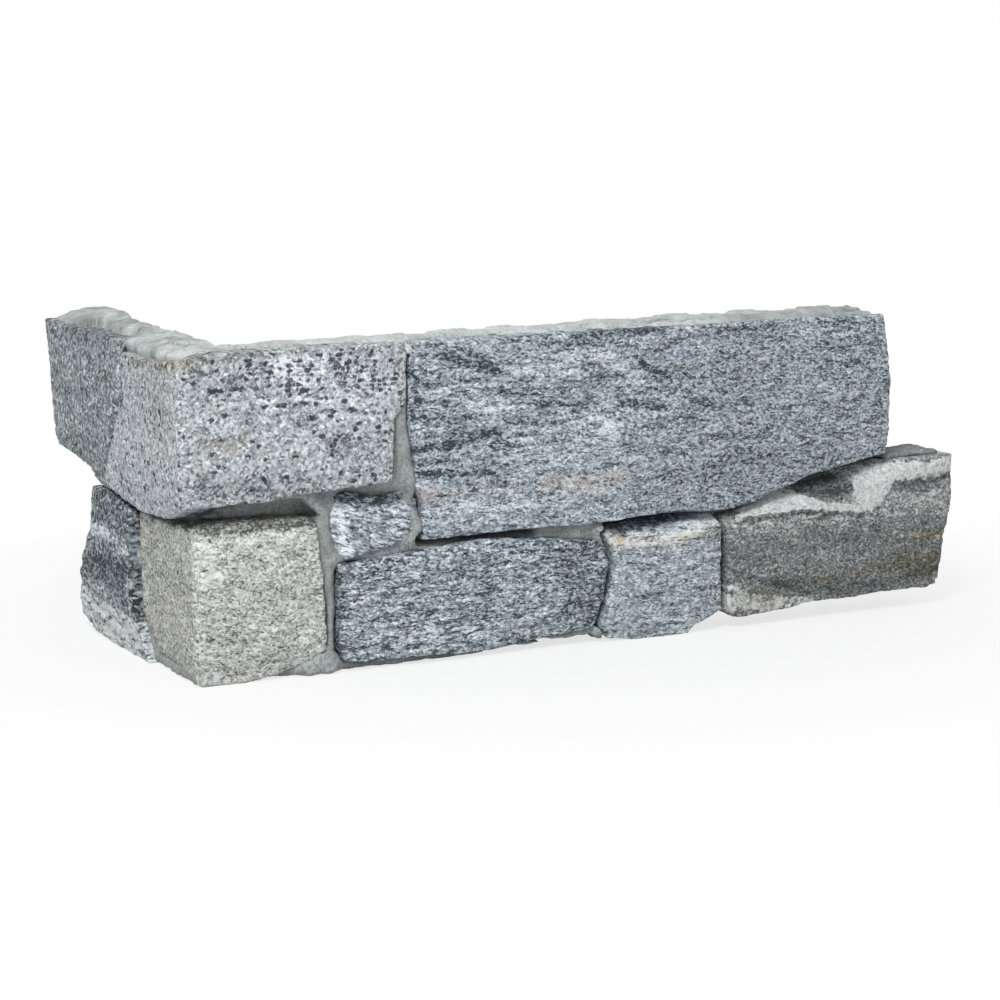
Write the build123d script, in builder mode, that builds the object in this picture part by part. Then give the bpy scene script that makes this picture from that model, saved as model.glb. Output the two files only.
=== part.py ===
"""A corner piece of natural stone cladding.

Nine split stones are set in two courses on one L-shaped bed of cement mortar. The two courses are
staggered, so both free ends are stepped and lock into the next panel. Two of the stones are sawn out
behind and wrap round the corner.

X runs along the long leg, Y along the short leg and Z is up. The origin is the foot of the inner arris,
where the two flat back faces meet: the wall that is clad lies in +X and +Y. Sizes are in millimetres.
"""

from build123d import *
import os

# Overall sizes. Lengths are measured along a leg from the outer corner.
height = 150.0
long_leg_length = 403.0
short_leg_length = 198.5

# The steps at the free ends: the lower course runs past the upper one, and the other way round
tongue_length = 38.5
notch_length = 43.0
step_height = 76.0

# Depths, measured from the back
face_depth = 30.0
bed_thickness = 9.0
joint_depth = 23.0
raked_depth = 14.0
cap_depth = 27.5

# The mortar's own edges
cap_thickness = 2.5
cap_rise = 2.0
cap_slope_width = 12.0
cap_setback = 14.0
end_setback = 5.0
foot_setback = 0.5
raised_foot = 9.5
rake_reach = 2.0
ledge_rake_reach = 8.0
corner_rake_reach = 3.0

# Upright joints, as lengths from the outer corner, and the width of a joint
joint_width = 3.0
upper_joint = 109.0
lower_joint = 69.0
middle_joint = 209.0
right_joint = 273.0
short_upper_joint = 84.0
short_lower_joint = 77.5

# Bed joints between the courses: on the long leg, and at the corner, where it is wider
bed_height = 56.0
corner_bed_height = 74.0
corner_bed_gap = 9.0

# How far each stone's face stands in front of the common face, or behind it
upper_corner_proud = 1.0
upper_long_proud = 1.5
wedge_proud = -4.0
lower_corner_proud = -1.0
lower_corner_side_proud = -5.5
lower_middle_proud = -1.0
lower_small_proud = -0.5
lower_right_proud = 0.0
upper_short_proud = 0.0
lower_short_proud = 0.0

# Broken edges, and the slope of the ledges that show under the upper course
arris_chamfer = 1.0
corner_round = 4.0
ledge_slope = 0.45
ramp_slope = 0.66

# What follows from the sizes above
upper_long_length = long_leg_length - tongue_length
lower_short_length = short_leg_length - notch_length
half_joint = joint_width / 2
stone_top = height - cap_thickness
stone_depth = face_depth - bed_thickness
upper_corner_foot = corner_bed_height + corner_bed_gap / 2
lower_corner_top = corner_bed_height - corner_bed_gap / 2

# Sketch planes on the back of the stones. A point on either is (length from the outer corner, height).
long_plane = Plane(origin=(-face_depth, -bed_thickness, 0), x_dir=(1, 0, 0), z_dir=(0, -1, 0))
short_plane = Plane(origin=(-bed_thickness, -face_depth, 0), x_dir=(0, 1, 0), z_dir=(1, 0, 0))


def on_long_leg(along, up, proud=0.0):
    """A point of the model on the long leg's face."""
    return Vector(along - face_depth, -face_depth - proud, up)


def on_short_leg(along, up, proud=0.0):
    """A point of the model on the short leg's face."""
    return Vector(-face_depth - proud, along - face_depth, up)


def between(start, end, share):
    """The value that lies the given share of the way from start to end."""
    return start + share * (end - start)


def shifted(points, along=0.0, up=0.0):
    """The same line, moved along the leg and up."""
    return [(a + along, b + up) for a, b in points]


def dress_face(stone, depth_axis):
    """Chamfer the arrises of the foremost face, the one that lies lowest along depth_axis."""
    chamfer(stone.faces().sort_by(depth_axis)[0].edges(), length=arris_chamfer)


def round_corner(stone):
    """Round the upright arris where a corner stone's two faces meet."""
    arris = stone.edges().filter_by(Axis.Z).group_by(Axis.Y)[0].sort_by(Axis.X)[0]
    fillet(arris, radius=corner_round)


def cleave(point, normal):
    """Break off what lies in front of a plane through point, on its normal's side."""
    split(bisect_by=Plane(origin=point, z_dir=normal), keep=Keep.BOTTOM)


def strip(line, above, below):
    """The outline of a strip along a line, which reaches up and left of it, and down and right of it."""
    return shifted(line, -above, above) + shifted(line, below, -below)[::-1]


def slab_plan(long_end, short_end, depth):
    """The plan of an L-shaped slab of one thickness, with its legs cut at the given lengths."""
    long_x = long_end - face_depth
    short_y = short_end - face_depth
    return [(0, 0), (long_x, 0), (long_x, -depth), (-depth, -depth), (-depth, short_y), (0, short_y)]


# Lines that neighbouring stones share. Each stone keeps half a joint away from them.
long_bed = [
    (upper_joint, bed_height - 1),
    (between(upper_joint, middle_joint, 0.4), bed_height),
    (middle_joint, bed_height),
    (between(middle_joint, right_joint, 0.6), bed_height + 2),
    (right_joint, bed_height + 0.5),
    (between(right_joint, upper_long_length, 0.2), bed_height + 3.5),
    (between(right_joint, upper_long_length, 0.5), step_height - 7),
    (between(right_joint, upper_long_length, 0.75), step_height - 2.5),
    (upper_long_length, step_height + 1.5),
]
short_bed = [
    (short_lower_joint - 45, corner_bed_height - 3.5),
    (short_lower_joint - 16, corner_bed_height - 5),
    (short_upper_joint + 28, corner_bed_height),
]
short_upper_line = [
    (short_upper_joint, stone_top),
    (short_upper_joint - 1, height - 19),
    (short_upper_joint + 5, height - 34),
    (short_upper_joint + 18, corner_bed_height + 25),
    (short_upper_joint + 27, corner_bed_height + 11),
    (short_upper_joint + 28, corner_bed_height),
]
short_lower_line = [
    (short_lower_joint - 17, 0),
    (short_lower_joint - 9, 11),
    (short_lower_joint - 3, 24),
    (short_lower_joint, bed_height),
    (short_lower_joint, corner_bed_height - 4),
]
middle_line = [
    (middle_joint - 4, 7),
    (middle_joint, 23),
    (middle_joint + 3, 36),
    (middle_joint + 1.5, 45),
    (middle_joint - 3, bed_height),
]

# Outlines of the stones
upper_corner_front = [
    (-upper_corner_proud, upper_corner_foot),
    (26, upper_corner_foot),
    (50, upper_corner_foot + 4),
    (upper_joint - half_joint - 7.5, upper_corner_foot + 7),
    (upper_joint - half_joint - 5.5, upper_corner_foot + 36),
    (upper_joint - half_joint - 1.5, upper_corner_foot + 43),
    (upper_joint - half_joint - 1, stone_top),
    (-upper_corner_proud, stone_top),
]
upper_corner_side = [
    (-upper_corner_proud, upper_corner_foot),
    *shifted(short_bed, up=half_joint),
    *shifted(short_upper_line[-2::-1], along=-half_joint),
    (-upper_corner_proud, stone_top),
]
upper_long_outline = [
    (upper_joint + half_joint + 1.5, stone_top),
    (upper_joint + half_joint - 1.5, stone_top - 11),
    (upper_joint + half_joint - 2, upper_corner_foot + 36),
    (upper_joint + half_joint + 2.5, upper_corner_foot - 5),
    (upper_joint + half_joint + 2.5, bed_height - 1 + half_joint),
    *shifted(long_bed[1:], up=half_joint),
    (upper_long_length + 0.5, step_height + 36),
    (upper_long_length - 4, stone_top),
]
wedge_outline = [
    (lower_joint - 2.5, upper_corner_foot),
    (lower_joint + 11, upper_corner_foot + 2),
    (lower_joint + 23, upper_corner_foot - 1),
    (upper_joint - 7, upper_corner_foot - 0.5),
    (upper_joint + half_joint - 1, upper_corner_foot - 4),
    (upper_joint + half_joint - 1, lower_corner_top - 4),
    (upper_joint - 1, bed_height + 4),
    (upper_joint - 10, bed_height),
    (lower_joint + 14, bed_height - 2.5),
    (lower_joint + 4, bed_height - 1.5),
    (lower_joint + half_joint, lower_corner_top - 2),
]
lower_corner_front = [
    (-lower_corner_side_proud, 0),
    (30, 0),
    (44, 2.5),
    (lower_joint - half_joint - 8.5, 6.5),
    (lower_joint - half_joint, 12),
    (lower_joint - half_joint, 27),
    (lower_joint - half_joint - 1.5, 48),
    (lower_joint - half_joint - 3.5, lower_corner_top + 2),
    (36, corner_bed_height - 1.5),
    (-lower_corner_side_proud, corner_bed_height - 1),
]
lower_corner_side = [
    (-lower_corner_proud, 0),
    *shifted(short_lower_line, along=-half_joint),
    *shifted(short_bed[1::-1], up=-half_joint),
    (-lower_corner_proud, corner_bed_height - 1),
]
lower_middle_outline = [
    (lower_joint + half_joint, 9),
    (lower_joint + 7, 4.5),
    (lower_joint + 17, 2.5),
    (between(lower_joint, middle_joint, 0.4), 2.5),
    (between(lower_joint, middle_joint, 0.57), 1.5),
    (middle_joint - 24, 5),
    *shifted(middle_line[:-1], along=-half_joint),
    (middle_joint - 4 - half_joint, bed_height - 7),
    (middle_joint - 36, bed_height - 2 - half_joint),
    (between(lower_joint, middle_joint, 0.55), bed_height - half_joint),
    (between(lower_joint, middle_joint, 0.36), bed_height - 2.5 - half_joint),
    (lower_joint + 22, bed_height - 4.5 - half_joint),
    (lower_joint + half_joint + 1, bed_height - 5 - half_joint),
]
lower_small_outline = [
    *shifted(middle_line[::-1], along=half_joint, up=-half_joint),
    (middle_joint + 2, 0),
    (right_joint - 20, 0),
    (right_joint - 17, 3.5),
    (right_joint - 10, 6),
    (right_joint - half_joint, 10),
    (right_joint - half_joint, bed_height + 0.5 - half_joint),
    (between(middle_joint, right_joint, 0.6), bed_height + 2 - half_joint),
]
lower_right_outline = [
    (right_joint + half_joint, 9),
    (right_joint + 6, 5.5),
    (between(right_joint, long_leg_length, 0.29), 7),
    (between(right_joint, long_leg_length, 0.36), 9),
    (between(right_joint, long_leg_length, 0.58), 8.5),
    (between(right_joint, long_leg_length, 0.68), 10),
    (long_leg_length - 12, 9.5),
    (long_leg_length - 7, 14),
    (long_leg_length - 4.5, 36),
    (long_leg_length, 50),
    (long_leg_length, step_height - 1.5),
    (upper_long_length + 5, step_height - cap_thickness),
    *shifted(long_bed[-2:3:-1], up=-half_joint)[:-1],
    (right_joint + half_joint, bed_height - half_joint),
]
upper_short_outline = [
    *shifted(short_upper_line[:-1], along=half_joint),
    (short_upper_joint + 30, corner_bed_height + 2),
    (short_upper_joint + 36, corner_bed_height + 2.5),
    (short_upper_joint + 50, corner_bed_height + 6.5),
    (short_leg_length - 38, corner_bed_height + 10.5),
    (short_leg_length - 13, corner_bed_height + 13),
    (short_leg_length - 10, corner_bed_height + 20),
    (short_leg_length - 4, height - 14),
    (short_leg_length, stone_top),
]
lower_short_outline = [
    *shifted(short_lower_line[:-1], along=half_joint),
    (short_lower_joint + half_joint, corner_bed_height - 4 - half_joint),
    (short_upper_joint + 15, corner_bed_height - half_joint),
    (lower_short_length - 22, corner_bed_height - half_joint),
    (lower_short_length - 21, bed_height),
    (lower_short_length - 11, 42),
    (lower_short_length - 1, 27),
    (lower_short_length, 6),
    (lower_short_length - 18, 2),
    (lower_short_length - 50, 0),
]

# Outlines of the mortar behind each leg. Its foot and ends follow the stones, a little inside them.
inner_corner = face_depth - joint_depth
mortar_long_outline = [
    (inner_corner, foot_setback),
    (lower_joint + 60, foot_setback),
    (middle_joint - 24, foot_setback + 3),
    (middle_joint - 5, foot_setback + 4),
    (middle_joint, foot_setback),
    (right_joint - 22, foot_setback),
    (right_joint - 10, raised_foot),
    (long_leg_length - end_setback, raised_foot),
    (long_leg_length - end_setback, step_height),
    (upper_long_length - end_setback, step_height),
    (upper_long_length - end_setback, height),
    (inner_corner, height),
]
mortar_short_outline = [
    (inner_corner, foot_setback),
    (lower_short_length - 40, foot_setback),
    (lower_short_length - 8, 8),
    (lower_short_length - 3, 27),
    (lower_short_length - 13, 42),
    (lower_short_length - 23, bed_height),
    (lower_short_length - 24, corner_bed_height),
    (short_upper_joint + 36, step_height + 3),
    (short_upper_joint + 50, step_height + 7),
    (short_leg_length - 38, step_height + 11),
    (short_leg_length - 15, step_height + 14),
    (short_leg_length - 12, step_height + 20),
    (short_leg_length - end_setback, height + cap_rise),
    (face_depth, height),
    (inner_corner, height),
]

# The joints that were raked out: the bed joints, and the upright ones beside the small stone
right_line = [(right_joint, 0), (right_joint, bed_height)]
long_corner_bed = [
    (0, corner_bed_height + 1.5),
    (26, corner_bed_height + 1.5),
    (50, corner_bed_height + 4),
    (lower_joint - 8, corner_bed_height + 4),
]
short_corner_bed = [(0, corner_bed_height - 1), *short_bed]


with BuildPart() as upper_corner_stone:
    # The stone is one L in plan: a front part and a side part that share the corner.
    with BuildSketch(long_plane):
        with BuildLine():
            Polyline(*upper_corner_front, close=True)
        make_face()
    extrude(amount=stone_depth + upper_corner_proud)
    with BuildSketch(short_plane):
        with BuildLine():
            Polyline(*upper_corner_side, close=True)
        make_face()
    extrude(amount=-(stone_depth + upper_corner_proud))
    round_corner(upper_corner_stone)
    cleave(on_long_leg(upper_joint - 36, height - 30, upper_corner_proud), (0.06, -1, 0.02))
    cleave(on_long_leg(40, upper_corner_foot + 15, upper_corner_proud), (-0.01, -1, -0.12))
    cleave(on_short_leg(45, height - 28, upper_corner_proud), (-1, 0.04, 0.02))
    cleave(on_short_leg(30, upper_corner_foot + 14, upper_corner_proud), (-1, 0, -0.12))
    cleave(on_long_leg(2, height - 9), (-1, -0.8, 0.5))

with BuildPart() as upper_long_stone:
    with BuildSketch(long_plane):
        with BuildLine():
            Polyline(*upper_long_outline, close=True)
        make_face()
    extrude(amount=stone_depth + upper_long_proud)
    dress_face(upper_long_stone, Axis.Y)
    cleave(on_long_leg(upper_joint + 60, bed_height + 32, upper_long_proud), (-0.03, -1, -0.15))
    cleave(on_long_leg(upper_joint + 30, height - 30, upper_long_proud), (-0.05, -1, 0.03))
    cleave(on_long_leg(upper_long_length - 45, height - 40, upper_long_proud), (0.02, -1, 0.02))
    cleave(on_long_leg(upper_long_length - 70, step_height + 12, upper_long_proud), (0.02, -1, -0.20))

with BuildPart() as wedge_stone:
    with BuildSketch(long_plane):
        with BuildLine():
            Polyline(*wedge_outline, close=True)
        make_face()
    extrude(amount=stone_depth + wedge_proud)
    dress_face(wedge_stone, Axis.Y)
    cleave(on_long_leg(lower_joint + 12, lower_corner_top, wedge_proud), (-0.35, -1, 0.12))
    cleave(on_long_leg(upper_joint - 14, lower_corner_top + 2, wedge_proud), (0.15, -1, 0.25))

with BuildPart() as lower_corner_stone:
    # An L in plan again, with its short face set back and its top sloping up to the joint above
    with BuildSketch(long_plane):
        with BuildLine():
            Polyline(*lower_corner_front, close=True)
        make_face()
    extrude(amount=stone_depth + lower_corner_proud)
    with BuildSketch(short_plane):
        with BuildLine():
            Polyline(*lower_corner_side, close=True)
        make_face()
    extrude(amount=-(stone_depth + lower_corner_side_proud))
    round_corner(lower_corner_stone)
    cleave(on_long_leg(0, lower_corner_top, lower_corner_proud), (0, -ledge_slope, 1))
    cleave(on_short_leg(0, lower_corner_top, lower_corner_side_proud), (-ledge_slope, 0, 1))
    cleave(on_long_leg(32, bed_height - 22, lower_corner_proud), (0.04, -1, 0.05))
    cleave(on_long_leg(30, 16, lower_corner_proud), (0, -1, -0.20))
    cleave(on_short_leg(30, 22, lower_corner_side_proud), (-1, 0, -0.12))

with BuildPart() as lower_middle_stone:
    with BuildSketch(long_plane):
        with BuildLine():
            Polyline(*lower_middle_outline, close=True)
        make_face()
    extrude(amount=stone_depth + lower_middle_proud)
    dress_face(lower_middle_stone, Axis.Y)
    cleave(on_long_leg(lower_joint + 40, bed_height - 16, lower_middle_proud), (-0.03, -1, 0.12))
    cleave(on_long_leg(middle_joint - 40, 16, lower_middle_proud), (0.05, -1, -0.16))

with BuildPart() as lower_small_stone:
    with BuildSketch(long_plane):
        with BuildLine():
            Polyline(*lower_small_outline, close=True)
        make_face()
    extrude(amount=stone_depth + lower_small_proud)
    dress_face(lower_small_stone, Axis.Y)
    cleave(on_long_leg(right_joint, bed_height - 6, lower_small_proud), (0, -ledge_slope, 1))
    cleave(on_long_leg(right_joint - 14, 24, lower_small_proud), (0.18, -1, 0))
    cleave(on_long_leg(middle_joint + 30, 10, lower_small_proud), (-0.03, -1, -0.15))

with BuildPart() as lower_right_stone:
    # The upper part of this stone's face is a ramp that climbs to the back and to the free end.
    with BuildSketch(long_plane):
        with BuildLine():
            Polyline(*lower_right_outline, close=True)
        make_face()
    extrude(amount=stone_depth + lower_right_proud)
    dress_face(lower_right_stone, Axis.Y)
    cleave(on_long_leg(right_joint + 5, bed_height - 7, lower_right_proud), (-0.21, -ramp_slope, 1))
    cleave(on_long_leg(long_leg_length - 60, 24, lower_right_proud), (0.01, -1, -0.14))
    cleave(on_long_leg(long_leg_length - 8, step_height - 20, lower_right_proud), (0.2, -1, 0))

with BuildPart() as upper_short_stone:
    with BuildSketch(short_plane):
        with BuildLine():
            Polyline(*upper_short_outline, close=True)
        make_face()
    extrude(amount=-(stone_depth + upper_short_proud))
    dress_face(upper_short_stone, Axis.X)
    cleave(on_short_leg(short_upper_joint + 40, height - 25, upper_short_proud), (-1, -0.02, 0.05))
    cleave(on_short_leg(short_leg_length - 45, corner_bed_height + 26, upper_short_proud), (-1, -0.01, -0.12))

with BuildPart() as lower_short_stone:
    with BuildSketch(short_plane):
        with BuildLine():
            Polyline(*lower_short_outline, close=True)
        make_face()
    extrude(amount=-(stone_depth + lower_short_proud))
    dress_face(lower_short_stone, Axis.X)
    cleave(on_short_leg(short_lower_joint + 25, bed_height - 4, lower_short_proud), (-1, -0.02, 0.08))
    cleave(on_short_leg(lower_short_length - 35, 22, lower_short_proud), (-1, -0.02, -0.10))

stones = {
    "upper_corner_stone": upper_corner_stone,
    "upper_long_stone": upper_long_stone,
    "wedge_stone": wedge_stone,
    "lower_corner_stone": lower_corner_stone,
    "lower_middle_stone": lower_middle_stone,
    "lower_small_stone": lower_small_stone,
    "lower_right_stone": lower_right_stone,
    "upper_short_stone": upper_short_stone,
    "lower_short_stone": lower_short_stone,
}

with BuildPart() as mortar_backing:
    # One slab behind each leg
    with BuildSketch(Plane(origin=(-face_depth, 0, 0), x_dir=(1, 0, 0), z_dir=(0, -1, 0))):
        with BuildLine():
            Polyline(*mortar_long_outline, close=True)
        make_face()
    extrude(amount=joint_depth)
    with BuildSketch(Plane(origin=(0, -face_depth, 0), x_dir=(0, 1, 0), z_dir=(1, 0, 0))):
        with BuildLine():
            Polyline(*mortar_short_outline, close=True)
        make_face()
    extrude(amount=-joint_depth)
    # The cap of mortar over the upper stones slopes down to their faces, and rises to the short leg's end.
    with BuildSketch(Plane.XY.offset(stone_top)):
        with BuildLine():
            cap_plan = slab_plan(upper_long_length - end_setback, short_leg_length - cap_setback, cap_depth)
            Polyline(*cap_plan, close=True)
        make_face()
    extrude(amount=cap_thickness + cap_rise)
    cleave(Vector(0, 0, height), (0, -cap_rise, short_leg_length - end_setback - face_depth))
    cleave(Vector(0, -cap_depth, stone_top), (0, -cap_thickness, cap_slope_width))
    cleave(Vector(-cap_depth, 0, stone_top), (-cap_thickness, 0, cap_slope_width))
    # The joints that were raked out
    with BuildSketch(Plane(origin=(-face_depth, -raked_depth, 0), x_dir=(1, 0, 0), z_dir=(0, -1, 0))):
        for line in (middle_line, right_line):
            with BuildLine():
                Polyline(*strip(line, rake_reach, rake_reach), close=True)
            make_face()
        with BuildLine():
            Polyline(*strip(long_bed[2:], rake_reach, ledge_rake_reach), close=True)
        make_face()
        with BuildLine():
            Polyline(*strip(long_corner_bed, corner_rake_reach, ledge_rake_reach), close=True)
        make_face()
    extrude(amount=joint_depth, mode=Mode.SUBTRACT)
    with BuildSketch(Plane(origin=(-raked_depth, -face_depth, 0), x_dir=(0, 1, 0), z_dir=(1, 0, 0))):
        with BuildLine():
            Polyline(*strip(short_corner_bed, corner_rake_reach, corner_rake_reach), close=True)
        make_face()
    extrude(amount=-joint_depth, mode=Mode.SUBTRACT)
    for stone in stones.values():
        add(stone.part, mode=Mode.SUBTRACT)

os.makedirs("parts", exist_ok=True)
for name, stone in stones.items():
    stone.part.label = name
    export_step(stone.part, f"parts/{name}.step")
mortar_backing.part.label = "mortar_backing"
export_step(mortar_backing.part, "parts/mortar_backing.step")
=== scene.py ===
"""Looks of a corner piece of natural stone cladding.

Nine split stones sit on an L-shaped bed of mortar. Each one is a fine mesh made from its solid, with the
relief of a split face, worn arrises and its own minerals. Shapes are worked out in millimetres. A place on
a face is (along, up): along the long leg from the outer corner, and negative along the short leg.
"""

import math
import bpy
import bmesh
import numpy as np
from mathutils import Matrix, Vector


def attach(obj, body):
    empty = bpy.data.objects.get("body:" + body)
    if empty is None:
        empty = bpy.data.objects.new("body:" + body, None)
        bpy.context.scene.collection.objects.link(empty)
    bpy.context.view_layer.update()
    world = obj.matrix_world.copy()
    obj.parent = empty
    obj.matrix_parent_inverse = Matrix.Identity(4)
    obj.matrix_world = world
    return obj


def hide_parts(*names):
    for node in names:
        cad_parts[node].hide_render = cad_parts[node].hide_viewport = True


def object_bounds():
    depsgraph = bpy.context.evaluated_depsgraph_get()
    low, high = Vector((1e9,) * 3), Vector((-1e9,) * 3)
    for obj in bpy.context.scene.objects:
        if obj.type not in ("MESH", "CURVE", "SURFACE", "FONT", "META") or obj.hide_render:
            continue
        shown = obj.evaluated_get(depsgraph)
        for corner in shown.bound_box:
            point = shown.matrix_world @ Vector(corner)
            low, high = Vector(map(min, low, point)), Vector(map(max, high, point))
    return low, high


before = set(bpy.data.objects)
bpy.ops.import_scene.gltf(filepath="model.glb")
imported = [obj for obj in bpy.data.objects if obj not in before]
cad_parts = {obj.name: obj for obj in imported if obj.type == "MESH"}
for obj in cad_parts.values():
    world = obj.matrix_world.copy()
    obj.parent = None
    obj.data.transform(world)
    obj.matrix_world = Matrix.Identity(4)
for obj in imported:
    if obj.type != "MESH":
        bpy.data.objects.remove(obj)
cad_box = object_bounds()

MM = 0.001
BODY = "root"

# Overall sizes of the solids that the looks refer to
FACE_DEPTH = 30.0
HEIGHT = 150.0
JOINT_DEPTH = 23.0
CAP_DEPTH = 27.5
STONE_TOP = 147.5
BED_DEPTH = 9.0

# The sizes of the meshes' quads
STONE_VOXEL = 1.0
MORTAR_VOXEL = 1.5

cad_low = np.array(cad_box[0]) / MM
cad_high = np.array(cad_box[1]) / MM


# Noise

GRADIENT_COUNT = 256
gradients = np.random.default_rng(11).normal(size=(GRADIENT_COUNT, 3))
gradients /= np.linalg.norm(gradients, axis=1)[:, None]


def lattice_pick(cell, seed):
    """A repeatable gradient number for each whole-number lattice point."""
    x, y, z = (cell[:, i].astype(np.uint32) for i in range(3))
    mixed = x * np.uint32(374761393) + y * np.uint32(668265263) + z * np.uint32(1274126177)
    mixed = mixed + np.uint32(seed * 97 + 13) * np.uint32(2654435761)
    mixed = (mixed ^ (mixed >> np.uint32(13))) * np.uint32(1103515245)
    return (mixed ^ (mixed >> np.uint32(16))) % np.uint32(GRADIENT_COUNT)


def noise(points, size, seed):
    """Smooth noise of about -1 to 1 with bumps of the given size, one number or one for each axis."""
    scaled = points / np.asarray(size, float)
    cell = np.floor(scaled).astype(np.int64)
    inside = scaled - cell
    fade = inside ** 3 * (inside * (inside * 6 - 15) + 10)
    total = np.zeros(len(points))
    for corner in np.ndindex(2, 2, 2):
        corner = np.array(corner)
        slope = gradients[lattice_pick(cell + corner, seed)]
        weight = np.prod(np.where(corner == 1, fade, 1 - fade), axis=1)
        total += ((inside - corner) * slope).sum(axis=1) * weight
    return total * 1.7


def layered(points, size, seed, octaves=3, gain=0.5):
    """Noise with finer and weaker noise on top of it."""
    size = np.asarray(size, float)
    return sum(noise(points, size / 2 ** i, seed + i) * gain ** i for i in range(octaves))


def smooth_step(value, low, high):
    """0 below low, 1 above high and a smooth rise between."""
    share = np.clip((value - low) / (high - low), 0, 1)
    return share * share * (3 - 2 * share)


# Meshes

def vectors(mesh, kind):
    """The coordinates or normals of a mesh's vertices, one row each."""
    out = np.zeros(len(mesh.vertices) * 3, np.float32)
    mesh.vertices.foreach_get(kind, out)
    return out.reshape(-1, 3).astype(float)


def edge_pairs(mesh):
    """The vertex numbers at the two ends of each edge."""
    out = np.zeros(len(mesh.edges) * 2, np.int32)
    mesh.edges.foreach_get("vertices", out)
    return out.reshape(-1, 2)


def averaged(values, pairs, rounds):
    """Values spread over the mesh by repeated averaging with the neighbours."""
    count = len(values)
    ends = np.concatenate([pairs[:, 0], pairs[:, 1]])
    others = np.concatenate([pairs[:, 1], pairs[:, 0]])
    neighbours = np.maximum(np.bincount(ends, minlength=count), 1)
    for _ in range(rounds):
        columns = [np.bincount(ends, values[others, i], count) for i in range(values.shape[1])]
        values = 0.5 * values + 0.5 * np.stack(columns, axis=1) / neighbours[:, None]
    return values


def smooth_normals(mesh, pairs, rounds):
    """The vertices' normals, averaged with their neighbours' and one long."""
    normals = averaged(vectors(mesh, "normal"), pairs, rounds)
    return normals / np.maximum(np.linalg.norm(normals, axis=1), 1e-6)[:, None]


def fine_copy(node, voxel):
    """A new object in the shape of a node's solid, with even quads of the given size in mm."""
    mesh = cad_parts[node].data.copy()
    work = bmesh.new()
    work.from_mesh(mesh)
    bmesh.ops.remove_doubles(work, verts=work.verts, dist=0.01 * MM)
    work.to_mesh(mesh)
    work.free()
    rough = bpy.data.objects.new(node + "_rough", mesh)
    bpy.context.scene.collection.objects.link(rough)
    remesh = rough.modifiers.new("even_quads", "REMESH")
    remesh.mode = "VOXEL"
    remesh.voxel_size = voxel * MM
    graph = bpy.context.evaluated_depsgraph_get()
    fine = bpy.data.meshes.new_from_object(rough.evaluated_get(graph))
    bpy.data.objects.remove(rough)
    fine.name = node + "_dressed"
    fine.materials.clear()
    fine.shade_smooth()
    piece = bpy.data.objects.new(node + "_dressed", fine)
    bpy.context.scene.collection.objects.link(piece)
    return piece


def depth_out(points):
    """How far each point lies out of the wall, in mm."""
    return np.maximum(-points[:, 1], -points[:, 0])


def face_place(points):
    """Each point's place on the unrolled faces: (along, up), with the short leg at negative along."""
    out_long = -points[:, 1]
    out_short = -points[:, 0]
    along = np.where(out_long >= out_short, points[:, 0] + FACE_DEPTH, -(points[:, 1] + FACE_DEPTH))
    return np.stack([along, points[:, 2]], axis=1)


def write_back(piece, points):
    """Give the piece its final points, held inside the box of the solids."""
    points = np.clip(points, cad_low, cad_high)
    piece.data.vertices.foreach_set("co", (points * MM).astype(np.float32).ravel())
    piece.data.update()


def add_mask(piece, name, values):
    """Keep a number for each vertex, for the materials to read."""
    attribute = piece.data.attributes.new(name, "FLOAT", "POINT")
    attribute.data.foreach_set("value", np.asarray(values, np.float32))


# Marks on the faces

def blob(place, centre, half_size, tilt=0.0):
    """1 at the centre of a soft ellipse, falling to 0 outside it. The tilt is in degrees."""
    offset = place - np.array(centre)
    turn = math.radians(tilt)
    along = offset[:, 0] * math.cos(turn) + offset[:, 1] * math.sin(turn)
    up = -offset[:, 0] * math.sin(turn) + offset[:, 1] * math.cos(turn)
    away = np.sqrt((along / half_size[0]) ** 2 + (up / half_size[1]) ** 2)
    return 1 - smooth_step(away, 0.55, 1.25)


def band(place, line, half_width, soft=1.0):
    """1 along a line of points, falling to 0 beyond the half width, which may be one for each point."""
    widths = np.broadcast_to(np.asarray(half_width, float), (len(line),))
    best = np.full(len(place), -1e9)
    for (start, end), (w0, w1) in zip(zip(line, line[1:]), zip(widths, widths[1:])):
        start, end = np.array(start, float), np.array(end, float)
        run = end - start
        share = np.clip(((place - start) @ run) / (run @ run), 0, 1)
        away = np.linalg.norm(place - start - share[:, None] * run, axis=1)
        best = np.maximum(best, w0 + (w1 - w0) * share - away)
    return smooth_step(best, -soft, soft)


def strongest(*masks):
    """The largest of the masks at each place."""
    return np.maximum.reduce(masks)


def as_points(place):
    """Places as points, for the noise to read."""
    return np.column_stack([place, np.zeros(len(place))])


def nudged(points, moves):
    """The points with parts of an outline moved. A move is a centre, a half size and a shift, all as places."""
    points = points.copy()
    place = face_place(points)
    on_long = place[:, 0] > 0
    for centre, half_size, (along, up) in moves:
        share = blob(place, centre, half_size)
        points[:, 0] += share * along * on_long
        points[:, 1] -= share * along * ~on_long
        points[:, 2] += share * up
    return points


# Relief of a split stone

def bare_of_mortar(points, out):
    """1 on the parts of a stone that show, falling to 0 in its bed and under the mortar's cap."""
    free = smooth_step(out, JOINT_DEPTH - 6, JOINT_DEPTH)
    under_cap = 1 - smooth_step(out, CAP_DEPTH - 1, CAP_DEPTH)
    return free * (1 - smooth_step(points[:, 2], HEIGHT - 4, HEIGHT - 3) * under_cap)


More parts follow.
